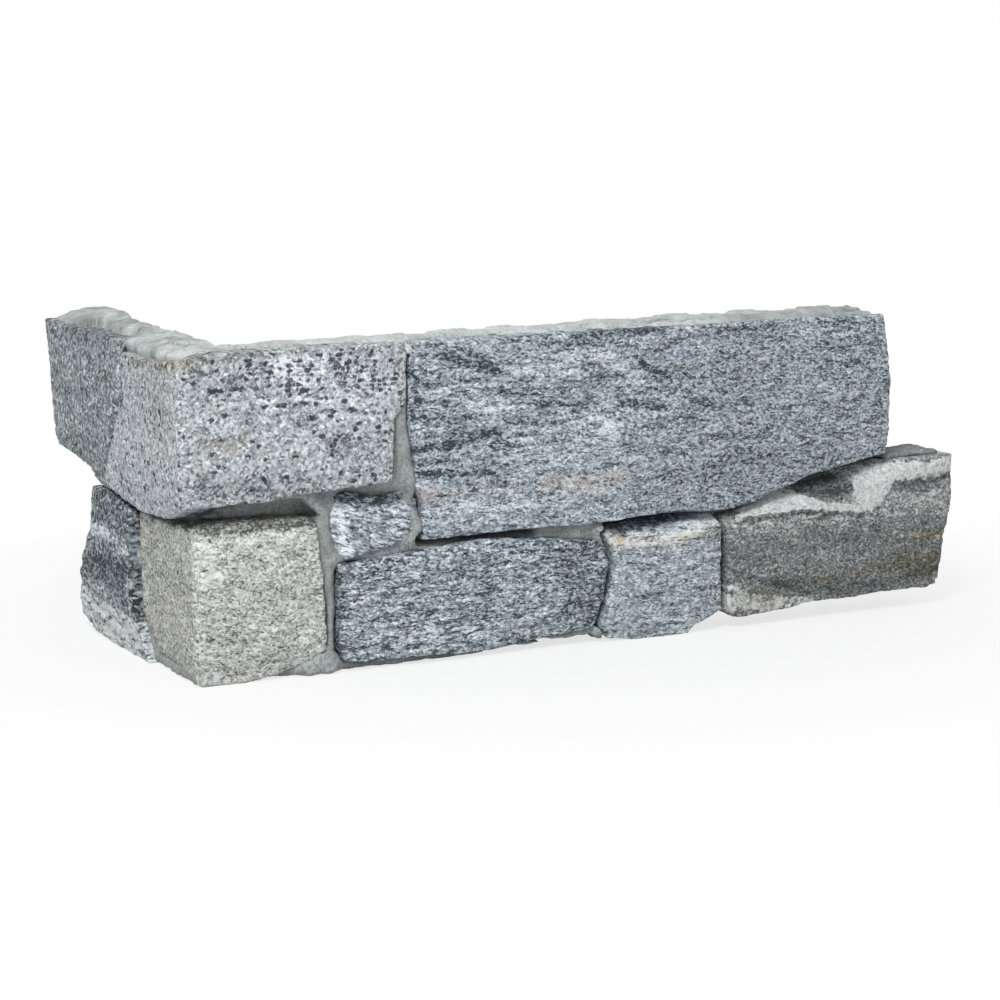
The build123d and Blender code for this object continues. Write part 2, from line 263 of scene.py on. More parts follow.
def chipped(points, pairs, strength, seed):
    """The points with worn and broken arrises, and 1 on each arris."""
    # Arrises lie away from the smoothed shape, so moving points towards it chips them.
    rounded = averaged(points, pairs, 14)
    arris = smooth_step(np.linalg.norm(rounded - points, axis=1), 0.5, 1.5)
    chips = smooth_step(layered(points, 5.5, seed + 40), 0.15, 0.6)
    return points + (strength * (0.12 + 0.75 * chips))[:, None] * (rounded - points), arris


def lowered_top(points, out, seed):
    """How far a stone's top lies under the solid's behind its front edge, in mm."""
    on_top = smooth_step(points[:, 2], STONE_TOP - 1, STONE_TOP - 0.3) * (1 - smooth_step(out, 25, 26.5))
    return on_top * (0.35 + 0.35 * noise(points, (6, 6, 60), seed + 52))


def swayed_place(points, seed):
    """Each point's place on the faces, moved a little so that the marks get uneven borders."""
    sway = [1.2 * noise(points, 5, seed + i) + 0.8 * noise(points, 2.2, seed + 5 + i) for i in (60, 61)]
    return face_place(points) + np.stack(sway, axis=1)


def dress_stone(node, relief, seed, marks, swell=0.3, wear=1.0, moves=()):
    """Make a stone's visible piece: split relief on its faces, broken arrises, and masks for its minerals and for
    painted light and shade.

    swell is how far its sides stand out into the joints, in mm, and wear is how round its arrises are.
    """
    piece = fine_copy(node, STONE_VOXEL)
    points = nudged(vectors(piece.data, "co") / MM, moves)
    pairs = edge_pairs(piece.data)
    normals = smooth_normals(piece.data, pairs, 3)
    outward = np.maximum(-normals[:, 1] * (points[:, 1] < -10), -normals[:, 0] * (points[:, 0] < -10))
    out = depth_out(points)
    free = bare_of_mortar(points, out)
    shaped, arris = chipped(points, pairs, free * wear, seed)
    ragged = 0.7 * noise(points, 3.4, seed + 50) + 0.5 * noise(points, 2.2, seed + 51)
    height = relief(points, seed) * (0.55 + 0.45 * smooth_step(outward, 0.2, 0.8)) + 0.8 * arris * ragged
    shaped += normals * (height * free)[:, None]
    shaped += normals * (swell * free * (1 - smooth_step(outward, 0.4, 0.8)))[:, None]
    shaped[:, 2] -= lowered_top(points, out, seed)
    write_back(piece, shaped)
    for name, values in marks(swayed_place(points, seed)).items():
        add_mask(piece, name, values)
    return piece


def granite_relief(points, seed):
    """A fairly flat split with shallow hollows and a crystalline skin."""
    broad = 0.8 * noise(points, 38, seed) + 0.55 * noise(points, 15, seed + 1)
    skin = 0.45 * noise(points, 5.0, seed + 2) + 0.4 * noise(points, 2.4, seed + 3)
    return broad + skin - 0.15


def gneiss_relief(points, seed):
    """A split with long low ledges that follow the layers of the rock."""
    bent = points + 1.5 * noise(points, 25, seed + 4)[:, None] * np.array([0, 0, 1])
    broad = 0.8 * noise(points, (60, 60, 26), seed) + 0.45 * noise(points, (30, 30, 12), seed + 1)
    ledges = 0.5 * noise(bent, (20, 20, 4.5), seed + 2) + 0.4 * noise(bent, (8, 8, 2.3), seed + 3)
    return broad + ledges + 0.35 * noise(points, 2.4, seed + 5) - 0.15


def crinkled_relief(points, seed):
    """Strongly layered rock whose layers break off in small crinkled steps."""
    bent = points + 2.2 * noise(points, 22, seed + 4)[:, None] * np.array([0, 0, 1])
    broad = 0.7 * noise(points, (50, 50, 22), seed)
    ledges = 0.8 * noise(bent, (17, 17, 3.6), seed + 1) + 0.5 * noise(bent, (7, 7, 2.2), seed + 2)
    return broad + ledges + 0.3 * noise(points, 2.4, seed + 5) - 0.3


def smooth_relief(points, seed):
    """A fine-grained face, almost flat."""
    broad = 0.7 * noise(points, 40, seed) + 0.45 * noise(points, 14, seed + 1)
    return broad + 0.3 * noise(points, 4, seed + 2) + 0.25 * noise(points, 2.3, seed + 3)


# Materials

def linear(level):
    """A screen value of 0 to 255 as a linear one."""
    share = level / 255
    return share / 12.92 if share <= 0.04045 else ((share + 0.055) / 1.055) ** 2.4


def colour(red, green, blue):
    """A screen colour as the linear one that a shader takes."""
    return (linear(red), linear(green), linear(blue), 1.0)


class Tree:
    """A material's node tree, with short calls for the nodes that stones use."""

    def __init__(self, name):
        self.material = bpy.data.materials.new(name)
        self.material.use_nodes = True
        self.nodes = self.material.node_tree.nodes
        self.links = self.material.node_tree.links
        self.shader = self.nodes["Principled BSDF"]
        self.place = self.scaled(self.nodes.new("ShaderNodeTexCoord").outputs["Object"], (1 / MM,) * 3)

    def put(self, socket, value):
        """Link a socket to another one, or set it."""
        if isinstance(value, bpy.types.NodeSocket):
            self.links.new(value, socket)
        else:
            socket.default_value = value

    def node(self, kind, inputs, **settings):
        """A new node, with its settings, and its inputs linked or set."""
        node = self.nodes.new("ShaderNode" + kind)
        for name, value in settings.items():
            setattr(node, name, value)
        for socket, value in inputs.items():
            self.put(node.inputs[socket], value)
        return node

    def math(self, operation, *values):
        """One calculation with numbers or sockets."""
        return self.node("Math", dict(enumerate(values)), operation=operation).outputs[0]

    def scaled(self, vector, factors):
        """The vector times a factor on each axis."""
        return self.node("VectorMath", {0: vector, 1: factors}, operation="MULTIPLY").outputs[0]

    def turned(self, vector, angle):
        """The vector turned about the Y axis, so that layers dip along the long leg."""
        inputs = {"Vector": vector, "Rotation": (0.0, math.radians(angle), 0.0)}
        return self.node("Mapping", inputs, vector_type="POINT").outputs[0]

    def warped(self, vector, size, amount):
        """The vector pushed about by noise of the given size."""
        push = self.noise(size, vector=vector, detail=2, output="Color")
        inputs = {0: push, 1: (2 * amount,) * 3, 2: vector}
        return self.node("VectorMath", inputs, operation="MULTIPLY_ADD").outputs[0]

    def noise(self, size, vector=None, detail=3, roughness=0.55, output="Fac"):
        """Cloudy noise with patches of the given size in mm."""
        place = self.place if vector is None else vector
        inputs = {"Vector": place, "Scale": 1 / size, "Detail": detail, "Roughness": roughness}
        return self.node("TexNoise", inputs).outputs[output]

    def cells(self, size, vector=None):
        """Random cells of the given size in mm: their colours, and the distance from their middles."""
        place = self.place if vector is None else vector
        node = self.node("TexVoronoi", {"Vector": place, "Scale": 1 / size})
        return node.outputs["Color"], node.outputs["Distance"]

    def part(self, colour_socket, channel=0):
        """One channel of a colour, which is a random number where the colour is a cell's."""
        return self.node("SeparateColor", {0: colour_socket}).outputs[channel]

    def between(self, value, low, high, to_low=0.0, to_high=1.0, **settings):
        """The value's way from low to high, as a number from to_low to to_high."""
        inputs = {"Value": value, "From Min": low, "From Max": high, "To Min": to_low, "To Max": to_high}
        return self.node("MapRange", inputs, **settings).outputs[0]

    def ramp(self, value, stops):
        """The colour at the value, from stops of a position and a colour."""
        node = self.node("ValToRGB", {0: value})
        elements = node.color_ramp.elements
        while len(elements) < len(stops):
            elements.new(0.5)
        for element, (position, tone) in zip(elements, stops):
            element.position = position
            element.color = tone
        return node.outputs[0]

    def mix(self, share, first, second, blend="MIX"):
        """The first colour with a share of the second one."""
        inputs = {"Factor": share, "A": first, "B": second}
        return self.node("Mix", inputs, data_type="RGBA", blend_type=blend).outputs["Result"]

    def mask(self, name):
        """The mask of that name, which is 0 on a piece that has none."""
        return self.node("Attribute", {}, attribute_name=name).outputs["Fac"]

    def bump(self, height, distance):
        """The normal over fine relief. The distance is its height in mm."""
        return self.node("Bump", {"Strength": 1.0, "Distance": distance * MM, "Height": height}).outputs[0]

    def finish(self, base, roughness, normal, specular=0.2):
        """The material, with its shader set."""
        values = {"Base Color": base, "Roughness": roughness, "Normal": normal, "Specular IOR Level": specular}
        for socket, value in values.items():
            self.put(self.shader.inputs[socket], value)
        return self.material


def greys(levels, tint):
    """Colour stops at even shares from dark to light. The tint is added to the red, green and blue."""
    stops = []
    for share, level in levels:
        stops.append((share, colour(*(min(max(level + part, 0), 255) for part in tint))))
    return stops


VEIN_LEVELS = ((0.0, 96), (0.22, 176), (0.5, 213), (0.8, 233), (1.0, 242))
MICA_GREY = 52
# The dark lines of cracks, and of painted shadow under an overhang
CRACK_AND_SHADOW_COLOUR = colour(46, 47, 44)

# How far single grains, clumps of them and wide regions differ in tone
GRAIN_WEIGHT = 0.75
CLUMP_WEIGHT = 1.0
REGION_WEIGHT = 0.35

# The height of the relief that is too fine for the meshes, in mm
ROCK_BUMP = 0.45
MORTAR_BUMP = 0.5


class RockTree(Tree):
    """The node tree of a rock, which adds its wavy layers and its grains."""

    def __init__(self, name, grain, stretch, dip, streak):
        super().__init__(name)
        thickness, length = streak
        self.grain = grain
        self.wavy = self.warped(self.turned(self.place, dip), 14.0, 1.6)
        self.flat = self.scaled(self.wavy, (1 / stretch, 1 / stretch, 1.0))
        self.cell = self.cells(grain, self.warped(self.flat, grain, grain * 0.3))[0]
        self.random = self.part(self.cell)
        self.long_layers = self.scaled(self.wavy, (1 / length, 1 / length, 1.0))
        self.layering = self.noise(thickness, self.long_layers, detail=4, roughness=0.65)

    def minerals(self, levels, tint, streaks):
        """The colours of the grains, by the tones of each one, its clump, its layer and its region."""
        clumps = self.noise(self.grain * 1.9, self.flat, detail=4, roughness=0.75)
        regions = self.noise(30.0, self.long_layers, detail=2)
        broken = self.between(self.layering, 0.38, 0.62, 0.25, 1.5)
        value = self.math("MULTIPLY_ADD", self.math("MULTIPLY", self.mask("tone"), broken), 0.6, 0.5)
        parts = [(self.random, GRAIN_WEIGHT), (clumps, CLUMP_WEIGHT), (self.layering, streaks),
                 (regions, REGION_WEIGHT)]
        for source, weight in parts:
            value = self.math("ADD", value, self.math("MULTIPLY_ADD", source, weight, -0.5 * weight))
        base = self.ramp(value, greys(levels, tint))
        warm = self.between(self.noise(2.6, self.wavy, detail=3), 0.48, 0.72, 0.0, 0.55)
        return self.mix(warm, base, colour(250, 240, 222), blend="MULTIPLY")

    def flakes(self, thickness, length, share):
        """Where thin dark flakes lie, which gather in the layers."""
        thin = self.scaled(self.wavy, (1 / length, 1 / length, 1.0))
        flakes = self.noise(thickness, thin, detail=2, roughness=0.6)
        gathered = self.math("MULTIPLY_ADD", self.layering, -0.5, 0.25 + share)
        return self.between(self.math("SUBTRACT", gathered, flakes), -0.01, 0.05, 0.0, 0.8)

    def spotted(self, base, spacing, share, grey):
        """The base with separate dark crystals of a ragged outline, with most where the mask is."""
        pushed = self.warped(self.warped(self.place, 1.6, 0.7), 0.7, 0.35)
        spot, away = self.cells(spacing, self.scaled(pushed, (0.8, 0.8, 1.0)))
        crowd = self.between(self.noise(11.0), 0.3, 0.7, share - 0.12, share + 0.12)
        wanted = self.math("SUBTRACT", self.math("ADD", self.mask("spotted"), crowd), self.part(spot, 2))
        wanted = self.between(wanted, -0.03, 0.03)
        ragged = self.between(self.noise(0.8, detail=3, roughness=0.7), 0.3, 0.7, -0.22, 0.22)
        inside = self.math("SUBTRACT", self.between(self.part(spot, 1), 0.0, 1.0, 0.35, 0.72), away)
        inside = self.between(self.math("ADD", inside, ragged), -0.12, 0.12, 0.0, 0.93)
        dark_grains = [(0.0, colour(grey - 6, grey, grey + 6)), (0.75, colour(grey + 6, grey + 12, grey + 20)),
                       (1.0, colour(grey + 52, grey + 56, grey + 60))]
        return self.mix(self.math("MULTIPLY", wanted, inside), base, self.ramp(self.random, dark_grains))

    def veined(self, base, levels, tint):
        """The base with coarse crystals of another mineral where the mask is."""
        edge = self.between(self.noise(2.2, detail=4), 0.2, 0.8, -0.4, 0.4)
        shown = self.between(self.math("ADD", self.mask("vein"), edge), 0.42, 0.6)
        coarse = self.noise(2.2, self.wavy, detail=5, roughness=0.75)
        crystals = self.math("MULTIPLY_ADD", self.random, 0.35, self.math("MULTIPLY_ADD", coarse, 1.8, -0.6))
        return self.mix(shown, base, self.ramp(crystals, greys(levels, tint)))

    def with_stains_and_shade(self, base, stain_and_shade):
        """The base with patchy stains where the mask is, which on the lower corner stone is partly painted shade."""
        patchy = self.between(self.noise(3.0, self.wavy), 0.35, 0.62, 0.1, 1.0)
        return self.mix(self.math("MULTIPLY", self.mask("stain_and_shade"), patchy), base, colour(*stain_and_shade), blend="MULTIPLY")

    def with_cracks_and_shadow(self, base):
        """The base with dark lines where the mask is, a little broken by the grains: cracks, and on the lower corner
        stone a painted shadow under the stone above.
        """
        shown = self.math("MULTIPLY", self.mask("line"), self.between(self.noise(3.0), 0.35, 0.5, 0.4, 1.0))
        shown = self.math("MULTIPLY", shown, self.between(self.random, 0.2, 1.0, 1.0, 0.7))
        return self.mix(shown, base, CRACK_AND_SHADOW_COLOUR)


def rock(name, levels, tint, grain=0.8, stretch=1.4, dip=0.0, streaks=1.0, streak=(2.6, 4.5),
         mica=(1.0, 3.0, 0.40), spots=None, vein=VEIN_LEVELS, vein_tint=(-3, 2, 1), stain_and_shade=(176, 150, 112)):
    """Rock of tight mineral grains, which gather in streaks along its layers.

    levels are the greys from its darkest to its lightest mineral, and streaks says how far its layers
    differ. streak is a layer's thickness and its length to that. mica is the thickness, the length to that
    and the share of thin dark flakes. spots is the spacing, share and grey of separate dark crystals.
    """
    tree = RockTree(name, grain, stretch, dip, streak)
    flakes = tree.flakes(*mica)
    base = tree.minerals(levels, tint, streaks)
    base = tree.mix(flakes, base, colour(*(MICA_GREY + part for part in tint)))
    if spots:
        base = tree.spotted(base, *spots)
    base = tree.veined(base, vein, vein_tint)
    base = tree.with_stains_and_shade(base, stain_and_shade)
    base = tree.with_cracks_and_shadow(base)
    fine = tree.noise(grain * 1.3, tree.flat, detail=4, roughness=0.7)
    height = tree.math("MULTIPLY_ADD", tree.random, 0.45, fine)
    height = tree.math("MULTIPLY_ADD", flakes, -0.35, height)
    roughness = tree.between(tree.part(tree.cell, 1), 0.0, 1.0, 0.5, 0.95)
    return tree.finish(base, roughness, tree.bump(height, ROCK_BUMP))


def mortar_material():
    """Cement mortar: grey, sandy, with paler and darker patches, then painted shade and darker blotches, and dark lines
    that are mostly painted shadow, from the masks.
    """
    tree = Tree("cement_mortar")
    sand = tree.part(tree.cells(0.7)[0])
    patches = tree.noise(15.0, tree.scaled(tree.place, (0.6, 0.6, 1.0)), detail=6, roughness=0.6)
    fine = tree.noise(1.8, detail=5, roughness=0.7)
    value = tree.math("MULTIPLY_ADD", sand, 0.3, tree.math("MULTIPLY_ADD", patches, 1.2, -0.7))
    value = tree.math("MULTIPLY_ADD", fine, 1.3, value)
    base = tree.ramp(value, [
        (0.1, colour(124, 127, 124)),
        (0.35, colour(160, 165, 163)),
        (0.55, colour(186, 192, 190)),
        (0.85, colour(212, 218, 217)),
    ])
    gritty = tree.math("MULTIPLY_ADD", sand, 0.25, tree.math("MULTIPLY_ADD", fine, 1.0, -0.12))
    # Painted shade in the joints and on the lower step, and blotches on the cap
    shade_and_blotch_share = tree.math("MULTIPLY", tree.mask("stain_and_shade"), tree.between(gritty, 0.36, 0.62, 0.35, 1.15))
    base = tree.mix(shade_and_blotch_share, base, colour(146, 149, 149), blend="MULTIPLY")
    # Dark lines, mostly painted shadow in the joints and at the foot of the cap's broken ledge
    base = tree.mix(tree.mask("line"), base, colour(50, 50, 47))
    height = tree.math("MULTIPLY_ADD", sand, 0.4, fine)
    return tree.finish(base, 0.9, tree.bump(height, MORTAR_BUMP), specular=0.15)


# Marks of each stone, from the rock that it is, and on some stones painted light and shade

def upper_corner_marks(place):
    """Dark spots on white at the upper right, dark clusters, a tan tint at the upper left, and painted light on the
    short-leg face.
    """
    tone = 0.7 * blob(place, (56, 139), (16, 7), -5) + 0.3 * blob(place, (78, 128), (26, 16))
    for centre, size in [((32, 117), (3, 6)), ((59, 115), (5, 4)), ((9, 92), (2.5, 4)), ((49, 105), (3, 2.5)),
                         ((26, 135), (4, 4)), ((9, 139), (5, 4)), ((38, 140), (5, 3)), ((74, 104), (7, 6)),
                         ((-22, 122), (4, 2)), ((-81, 122), (3, 4))]:
        tone -= 0.5 * blob(place, centre, size)
    tone += 0.5 * blob(place, (39, 125), (7, 3)) - 0.25 * blob(place, (40, 88), (34, 6))
    # The short-leg face is a little lighter, with fewer dark crystals: painted light
    on_side = 1 - smooth_step(place[:, 0], -6, 2)
    tone += 0.03 * on_side
    spotted = 0.36 * blob(place, (66, 136), (42, 15)) + 0.14 * blob(place, (84, 115), (26, 14)) - 0.05 * on_side
    stain_and_shade = 0.7 * band(place, [(-66, 139), (-30, 141), (0, 144), (24, 146)], (2, 3, 3, 1.5), 2.5)
    stain_and_shade += 0.3 * blob(place, (-24, 120), (16, 22))
    stain_and_shade += 0.5 * blob(place, (20, 108), (12, 4))
    line = band(place, [(-70, 146.5), (-30, 145.5), (0, 146.5), (40, 147)], 0.6, 0.8)
    return {"tone": tone, "spotted": spotted, "stain_and_shade": stain_and_shade, "line": 0.6 * line}


def upper_long_marks(place):
    """Thin dark streaks, pale patches between them, and pink and white crystals near the foot."""
    tone = np.zeros(len(place))
    for start, end, half_width in [
        ((108, 134), (119, 127), 1.3), ((109, 114), (142, 111), 0.7), ((110, 137), (113, 120), 0.9),
        ((126, 141), (151, 133), 1.8), ((132, 144), (147, 138), 1.0), ((122, 130), (144, 129), 0.6),
        ((144, 125), (171, 120), 0.6), ((171, 116), (202, 114), 0.9), ((116, 104), (150, 106), 0.7),
        ((110, 99), (128, 100), 1.5), ((126, 100), (152, 104), 1.2), ((109, 93), (128, 92), 0.8),
        ((112, 88), (150, 86), 1.4), ((150, 97), (182, 98), 0.7), ((216, 114), (238, 110), 1.5),
        ((226, 131), (241, 124), 1.6), ((253, 112), (268, 108), 1.1), ((199, 127), (218, 126), 0.8),
        ((177, 144), (204, 142), 0.8), ((190, 146.5), (240, 147), 1.4), ((267, 145), (298, 145), 0.8),
        ((112, 121), (128, 120), 0.6), ((158, 108), (190, 107), 0.6),
    ]:
        tone -= 0.85 * band(place, [start, end], half_width, 1.3)
    for centre, size in [((131, 126), (15, 3)), ((148, 116), (16, 3)), ((119, 109), (9, 3)), ((172, 132), (18, 3)),
                         ((165, 98), (14, 3)), ((200, 136), (16, 3)), ((150, 70), (20, 4)), ((205, 104), (20, 4))]:
        tone += 0.45 * blob(place, centre, size, -3)
    tone -= 0.12 * smooth_step(place[:, 0], 200, 260)
    vein = 0.6 * strongest(*(blob(place, centre, size, tilt) for centre, size, tilt in [
        ((178, 79), (8, 6), 40), ((190, 78), (10, 7), -35), ((202, 75), (9, 7), -40), ((214, 79), (8, 6), -20),
        ((160, 76), (12, 2.5), 8), ((118, 78), (8, 5), 30), ((133, 79), (7, 4), 0), ((146, 78), (5, 3), 0)]))
    stain_and_shade = 0.5 * blob(place, (236, 139), (4, 4)) + 0.35 * blob(place, (116, 76), (8, 6))
    stain_and_shade += 0.8 * blob(place, (180, 78), (2.5, 4), 30) + 0.7 * blob(place, (196, 79), (2, 5), -35)
    stain_and_shade += 0.5 * blob(place, (210, 78), (3, 2)) + 0.2 * band(place, [(110, 78), (150, 79)], 2, 2)
    return {"tone": tone, "vein": vein, "stain_and_shade": stain_and_shade}


def wedge_painted_light(place):
    """Painted light and shade for the stone's angular form: a painted highlight on the arris, painted shade on the left
    facet and a painted shadow along the top, under the corner stone above.
    """
    # Painted highlight on the arris and painted shade on the left facet
    tone = 1.0 * band(place, [(72, 76), (77, 66), (79, 54)], 2.2, 1.5) - 0.9 * band(place, [(65, 78), (70, 54)], 3, 1.5)
    # Painted shadow along the top, under the overhanging corner stone
    tone -= 0.9 * band(place, [(66, 83), (84, 78), (96, 76), (110, 78)], 2.2, 1.5)
    return {"tone": tone}


def lower_corner_marks(place):
    """A dark speckled ledge under the joint above, darker partly from its own rock and partly from painted shade under
    the corner stone above, a painted shadow along the ledge's top, painted shade on its short-leg face, and a brown
    crack beside the corner.
    """
    ledge = smooth_step(place[:, 1] + 0.02 * place[:, 0], 67.5, 69.5)
    # The ledge's darker tone is partly its own speckled rock and partly painted shade under the overhanging corner
    # stone
    tone = -0.8 * ledge + 0.3 * band(place, [(4, 65), (30, 64), (60, 64)], 2.0, 1.5)
    # The slightly darker short-leg face is painted shade
    tone += 0.35 * blob(place, (14, 55), (12, 10)) - 0.05 * (1 - smooth_step(place[:, 0], -4, 4))
    tone += 0.25 * noise(as_points(place), (16, 6, 1), 77)
    # On the ledge this mask is partly painted shade; on the short-leg face it is a brown tint
    stain_and_shade = 0.3 * ledge + 0.25 * (1 - smooth_step(place[:, 0], 0, 4))
    # Painted shadow of the corner stone's overhang along the top of the ledge, drawn as a dark line
    shadow = smooth_step(place[:, 1] + 0.05 * place[:, 0], 71, 73) * (1 - 0.8 * smooth_step(place[:, 0], 12, 34))
    line = strongest(
        0.75 * shadow,
        0.7 * band(place, [(2.5, 56), (3.5, 44), (1, 33)], 0.5, 0.7),
        0.5 * band(place, [(46, 47), (60, 49)], 0.4, 0.7))
    return {"tone": tone, "stain_and_shade": stain_and_shade, "line": line}


def lower_middle_marks(place):
    """Darker towards the right end, and painted shade at the left border beside the joint with the lower corner stone.
    """
    # The dark strip at the left border is painted shade beside the joint
    tone = -0.25 * blob(place, (196, 30), (14, 30)) - 0.3 * blob(place, (72, 30), (4, 30))
    return {"tone": tone + 0.3 * band(place, [(90, 18), (150, 12)], 2.5, 2)}


def lower_small_marks(place):
    """A green-black top ledge, a cream band under it and an orange spot."""
    tone = -0.8 * band(place, [(212, 55), (235, 56), (252, 56.5)], (2.0, 4.5, 2.0), 1.2)
    tone += 0.9 * band(place, [(210, 49), (228, 47), (250, 48.5), (272, 54)], (2.0, 3.2, 2.5, 3.5), 1.5)
    stain_and_shade = 1.0 * blob(place, (216, 49.5), (2.5, 2)) + 0.5 * band(place, [(210, 48), (240, 46), (272, 50)], 3.5, 2)
    ledge = band(place, [(211, 55), (235, 56.5), (254, 57)], (2.5, 4.5, 2.0), 1.0)
    return {"tone": tone, "stain_and_shade": stain_and_shade, "line": 0.5 * ledge}


def lower_right_marks(place):
    """White quartz on the ramp, rust at the right and lower down, a crack, and cream rock at the foot."""
    foot = band(place, [(276, 15), (292, 11), (322, 9.5)], (7, 5, 2.5), 2)
    vein = strongest(
        band(place, [(280, 52), (290, 56.5), (302, 59.5), (314, 59.5), (328, 55.5)], (0.5, 3, 4.5, 4, 2), 1.0),
        band(place, [(324, 55.5), (340, 54), (354, 53)], (2.4, 1.8, 2.5), 1.0),
        blob(place, (354.5, 62), (12, 9.5), 20),
        band(place, [(356, 68), (372, 69.5), (387, 69), (403, 72)], (4, 4, 4, 4.5), 1.0),
        (0.6 + 0.3 * noise(as_points(place), (5, 4, 1), 71)) * foot,
        0.7 * band(place, [(277, 49.5), (300, 50.5), (320, 52)], 0.5, 0.8),
        0.62 * blob(place, (312, 67), (4, 2), 20))
    tone = -1.2 * blob(place, (331, 65), (16, 6)) + 0.3 * smooth_step(place[:, 1], 40, 50)
    tone -= 0.4 * band(place, [(300, 21), (330, 16), (370, 13), (398, 20)], 2.5, 2)
    tone -= 0.8 * band(place, [(370, 62), (384, 63.5), (403, 65)], 1.4, 1.2)
    tone += 0.6 * band(place, [(366, 38.5), (384, 36.5), (402, 37)], (0.4, 1.2, 2.0), 1.0)
    stain_and_shade = 0.9 * band(place, [(309, 21), (340, 20), (366, 22), (396, 21)], (1, 2.5, 4, 6), 4)
    stain_and_shade += 1.0 * band(place, [(366, 38.5), (384, 36.5), (402, 37)], (0.5, 1.5, 2.5), 1.2)
    stain_and_shade += 0.45 * blob(place, (292, 13), (18, 8)) + 0.4 * band(place, [(278, 54), (290, 55)], 3, 2)
    stain_and_shade += 0.3 * blob(place, (386, 30), (20, 8))
    line = strongest(
        band(place, [(274, 29.5), (288, 24), (301, 19), (320, 14)], 0.55, 0.8),
        0.7 * band(place, [(320, 14), (336, 13), (350, 11)], 0.4, 0.8),
        0.95 * band(place, [(280, 50.8), (300, 53.2), (322, 53.2), (350, 49.5)], 0.9, 0.8),
        0.8 * band(place, [(275, 19), (287, 14), (300, 12.5)], 0.6, 1.0),
        0.8 * band(place, [(370, 64), (384, 65.5), (402, 67)], 0.6, 0.9))
    return {"tone": tone, "vein": vein, "stain_and_shade": np.clip(stain_and_shade, 0, 1), "line": line}


def upper_short_marks(place):
    """Darker than the corner stone beside it, most of all under its top."""
    return {"tone": 0.1 * blob(place, (-88, 120), (12, 30)) - 0.2 * band(place, [(-172, 146), (-98, 144)], 2, 3)}


def lower_short_marks(place):
    """A mottled top, a pale band, a dark layer and pale foot rock, all falling towards the corner."""
    dark = band(place, [(-150, 32), (-110, 34), (-82, 32), (-72, 30)], (5, 9, 13, 14), 2)
    low = 1 - smooth_step(place[:, 1] - 0.02 * place[:, 0] - 20, -2.0, 1.5)
    tone = 0.9 * low - 0.5 * dark * (1 - low) + 0.7 * band(place, [(-140, 52), (-106, 54), (-82, 50)], 3, 1.5)
    tone += 0.4 * band(place, [(-79, 50), (-80, 18)], 1.2, 1.5) - 0.9 * band(place, [(-70, 64), (-67, 18)], 3, 1.5)
    tone -= 0.3 * smooth_step(place[:, 1], 34, 40) + 0.25 * smooth_step(place[:, 1], 54, 60)
    line = strongest(
        0.8 * band(place, [(-152, 24), (-122, 21), (-98, 19), (-70, 18)], 0.8, 1.0),
        0.7 * band(place, [(-154, 12), (-126, 9), (-96, 5)], 0.6, 1.0),
        0.5 * band(place, [(-130, 16), (-100, 13), (-70, 9)], 0.5, 1.0))
    return {"tone": tone, "line": line, "stain_and_shade": 0.2 * low}


# The stones

# On the short leg the corner stone's top falls away from the corner, and the mortar fills up to the rim.
SHORT_TOP = ((-95, 147), (95, 17), (0, -6))

# How each stone is dressed. The moves bring its outline to the photographed one.
STONES = {
    "upper_corner_stone": dict(
        relief=granite_relief, seed=3, marks=upper_corner_marks,
        moves=[((8, 79), (30, 9), (0, 2.6)), ((107, 132), (6, 22), (1.8, 0)), SHORT_TOP]),
    "upper_long_stone": dict(
        relief=gneiss_relief, seed=14, marks=upper_long_marks, moves=[((112, 64), (9, 16), (3, 0))]),
    "wedge_stone": dict(
        relief=gneiss_relief, seed=25, marks=wedge_painted_light, swell=1.2, wear=0.3,
        moves=[((110, 70), (14, 18), (4, 1)), ((75, 54), (7, 7), (0, -1.5)), ((67, 68), (6, 18), (-2.5, 0))]),
    "lower_corner_stone": dict(relief=granite_relief, seed=36, marks=lower_corner_marks),
    "lower_middle_stone": dict(
        relief=crinkled_relief, seed=47, marks=lower_middle_marks,
        moves=[((71, 28), (5, 30), (3.2, 0)), ((136, 6), (90, 12), (0, 1))]),
    "lower_small_stone": dict(
        relief=gneiss_relief, seed=58, marks=lower_small_marks, moves=[((206, 3), (16, 8), (0, 2))]),
    "lower_right_stone": dict(
        relief=smooth_relief, seed=69, marks=lower_right_marks, moves=[((386, 78), (38, 10), (0.5, 1.6))]),
    "upper_short_stone": dict(
        relief=smooth_relief, seed=80, marks=upper_short_marks, swell=1.0,
        moves=[((-122, 79), (14, 9), (0, -2.5)), ((-135, 148), (70, 18), (0, -2.3))]),
    "lower_short_stone": dict(relief=gneiss_relief, seed=91, marks=lower_short_marks),
}

# The mortar goes along with the stones that were moved beside it.
MORTAR_MOVES = [((70.5, 28), (4.5, 30), (2.2, 0)), ((386, 78), (38, 10), (0, 1.6)), ((112, 60), (7, 12), (2, 0))]

